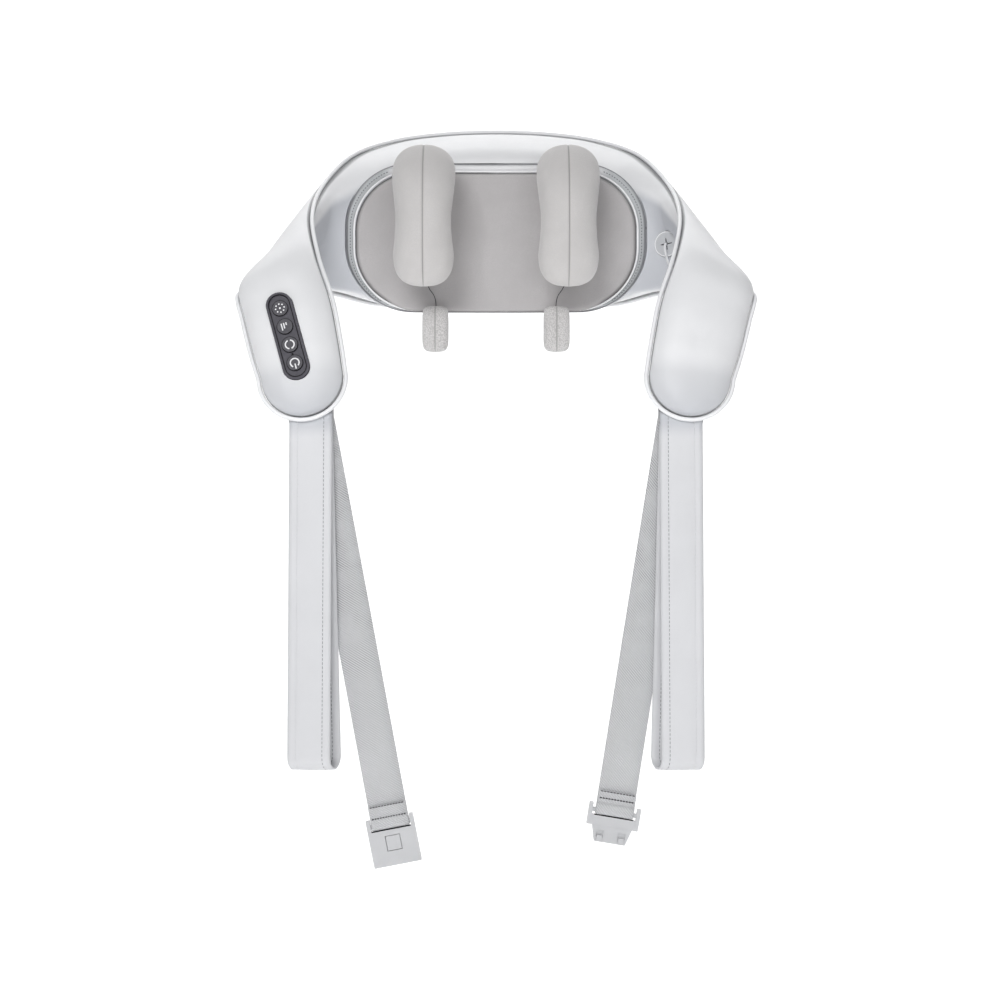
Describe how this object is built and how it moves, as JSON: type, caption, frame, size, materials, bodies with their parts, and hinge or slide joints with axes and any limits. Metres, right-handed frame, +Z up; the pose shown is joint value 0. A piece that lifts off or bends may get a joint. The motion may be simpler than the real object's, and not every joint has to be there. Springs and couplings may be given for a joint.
{
  "type": "shiatsu neck massager",
  "caption": "Padded leather neck and shoulder massager with two kneading claws, button panel, padded hand loops and webbing straps with a buckle.",
  "frame": {"origin": "middle of the fabric massage panel's front face, where the nape rests", "axes": "+X towards the right of a person who faces the panel (the wearer's left), +Y from the neck towards the back cover, +Z up; the wings reach towards -Y and the straps hang towards -Z"},
  "size_m": [0.387, 0.2138, 0.5777],
  "materials": {
    "board": "solder mask",
    "brass": "machined",
    "buckle_plastic": "moulded",
    "button_plastic": "satin",
    "foil": "rolled",
    "housing_plastic": "moulded",
    "hub_plastic": "moulded",
    "lead_jacket": "silk matt",
    "leather": "soft matt grain",
    "lens": "gloss",
    "pad_fabric": "fine knit",
    "panel_fabric": "fine knit",
    "panel_plastic": "satin gloss",
    "port_metal": "stamped",
    "silicone": "silk matt",
    "steel": "ground",
    "terry": "terry",
    "webbing": "twill",
    "zinc": "plated",
    "zip_tape": "woven"
  },
  "bodies": {
    "collar": {"back_outer_cover": "leather", "back_inner_cover": "leather", "left_wing_front_pad": "leather", "left_wing_rear_pad": "leather", "right_wing_front_pad": "leather", "right_wing_rear_pad": "leather", "edge_piping": "leather", "fabric_panel": "panel_fabric", "zip_ring": "zip_tape", "front_housing": "housing_plastic", "rear_housing": "housing_plastic", "housing_screws": "steel", "gearbox_left_half": "housing_plastic", "gearbox_right_half": "housing_plastic", "gearbox_screws": "steel", "motor_can": "steel", "motor_screws": "steel", "worm_bush": "brass", "shaft_bushes": "brass", "control_bezel": "panel_plastic", "control_board": "board", "button_switches": "port_metal", "indicator_lens": "lens", "battery_cell": "foil", "battery_tray": "housing_plastic", "charge_port": "port_metal", "cable_grommet": "silicone", "battery_lead": "lead_jacket", "left_strap_anchor": "webbing", "right_strap_anchor": "webbing"},
    "drive_shaft": {"main_shaft": "steel", "worm_wheel": "brass", "left_hub": "hub_plastic", "right_hub": "hub_plastic", "left_bearing_inner": "steel", "right_bearing_inner": "steel"},
    "motor_worm": {"worm": "brass"},
    "left_claw": {"left_bearing_outer": "steel", "left_claw_arm": "housing_plastic", "left_heat_plate": "foil", "left_palm_pad": "pad_fabric", "left_thumb_pad": "terry"},
    "right_claw": {"right_bearing_outer": "steel", "right_claw_arm": "housing_plastic", "right_heat_plate": "foil", "right_palm_pad": "pad_fabric", "right_thumb_pad": "terry"},
    "heat_button": {"button_heat": "button_plastic"},
    "level_button": {"button_level": "button_plastic"},
    "direction_button": {"button_direction": "button_plastic"},
    "power_button": {"button_power": "button_plastic"},
    "zipper_slider": {"zip_slider": "zinc"},
    "left_loop": {"left_hand_loop": "leather"},
    "right_loop": {"right_hand_loop": "leather"},
    "left_strap": {"left_webbing": "webbing"},
    "right_strap": {"right_webbing": "webbing"},
    "left_buckle": {"buckle_socket": "buckle_plastic"},
    "release_tab": {"buckle_release": "buckle_plastic"},
    "right_buckle": {"buckle_plug": "buckle_plastic"}
  },
  "joints": [
    {"name": "shaft_spin", "type": "hinge", "parent": "collar", "child": "drive_shaft", "pos_m": [0, 0.026, 0], "axis": [1, 0, 0], "continuous": true},
    {"name": "worm_spin", "type": "hinge", "parent": "collar", "child": "motor_worm", "pos_m": [0, 0.04104, 0.00547], "axis": [0, -0.342, 0.9397], "continuous": true},
    {"name": "left_claw_wobble", "type": "hinge", "parent": "drive_shaft", "child": "left_claw", "pos_m": [-0.056, 0.026, 0.003], "axis": [0.9962, -0.0872, 0], "continuous": true},
    {"name": "right_claw_wobble", "type": "hinge", "parent": "drive_shaft", "child": "right_claw", "pos_m": [0.056, 0.026, 0.003], "axis": [0.9962, 0.0872, 0], "continuous": true},
    {"name": "heat_press", "type": "slide", "parent": "collar", "child": "heat_button", "axis": [0.0663, 0.9724, -0.2238], "range_m": [0, 0.0008], "stiffness_N_per_m": 600},
    {"name": "level_press", "type": "slide", "parent": "collar", "child": "level_button", "axis": [0.0663, 0.9724, -0.2238], "range_m": [0, 0.0008], "stiffness_N_per_m": 600},
    {"name": "direction_press", "type": "slide", "parent": "collar", "child": "direction_button", "axis": [0.0663, 0.9724, -0.2238], "range_m": [0, 0.0008], "stiffness_N_per_m": 600},
    {"name": "power_press", "type": "slide", "parent": "collar", "child": "power_button", "axis": [0.0663, 0.9724, -0.2238], "range_m": [0, 0.0008], "stiffness_N_per_m": 600},
    {"name": "zip_run", "type": "slide", "parent": "collar", "child": "zipper_slider", "axis": [0.9956, -0.0933, 0], "range_m": [-0.008, 0.008]},
    {"name": "left_loop_swing", "type": "hinge", "parent": "collar", "child": "left_loop", "pos_m": [-0.134, -0.1318, -0.1568], "axis": [1, 0, 0], "range_deg": [-75, 0]},
    {"name": "right_loop_swing", "type": "hinge", "parent": "collar", "child": "right_loop", "pos_m": [0.134, -0.1318, -0.1568], "axis": [1, 0, 0], "range_deg": [-75, 0]},
    {"name": "left_strap_swing", "type": "hinge", "parent": "collar", "child": "left_strap", "pos_m": [-0.134, -0.12645, -0.1536], "axis": [1, 0, 0], "range_deg": [0, 75]},
    {"name": "right_strap_swing", "type": "hinge", "parent": "collar", "child": "right_strap", "pos_m": [0.134, -0.12645, -0.1536], "axis": [1, 0, 0], "range_deg": [0, 75]},
    {"name": "left_buckle_swivel", "type": "hinge", "parent": "left_strap", "child": "left_buckle", "pos_m": [-0.07735, -0.11827, -0.44501], "axis": [0.9816, 0, 0.1908], "range_deg": [-60, 60]},
    {"name": "right_buckle_swivel", "type": "hinge", "parent": "right_strap", "child": "right_buckle", "pos_m": [0.08665, -0.11858, -0.43654], "axis": [0.9863, 0, -0.165], "range_deg": [-60, 60]},
    {"name": "release_press", "type": "slide", "parent": "left_buckle", "child": "release_tab", "axis": [-0.006, 0.9995, 0.0308], "range_m": [0, 0.001], "stiffness_N_per_m": 400}
  ],
  "couplings": [
    {"joint": "worm_spin", "follows": "shaft_spin", "ratio": -24},
    {"joint": "left_claw_wobble", "follows": "shaft_spin", "ratio": -1},
    {"joint": "right_claw_wobble", "follows": "shaft_spin", "ratio": -1}
  ]
}
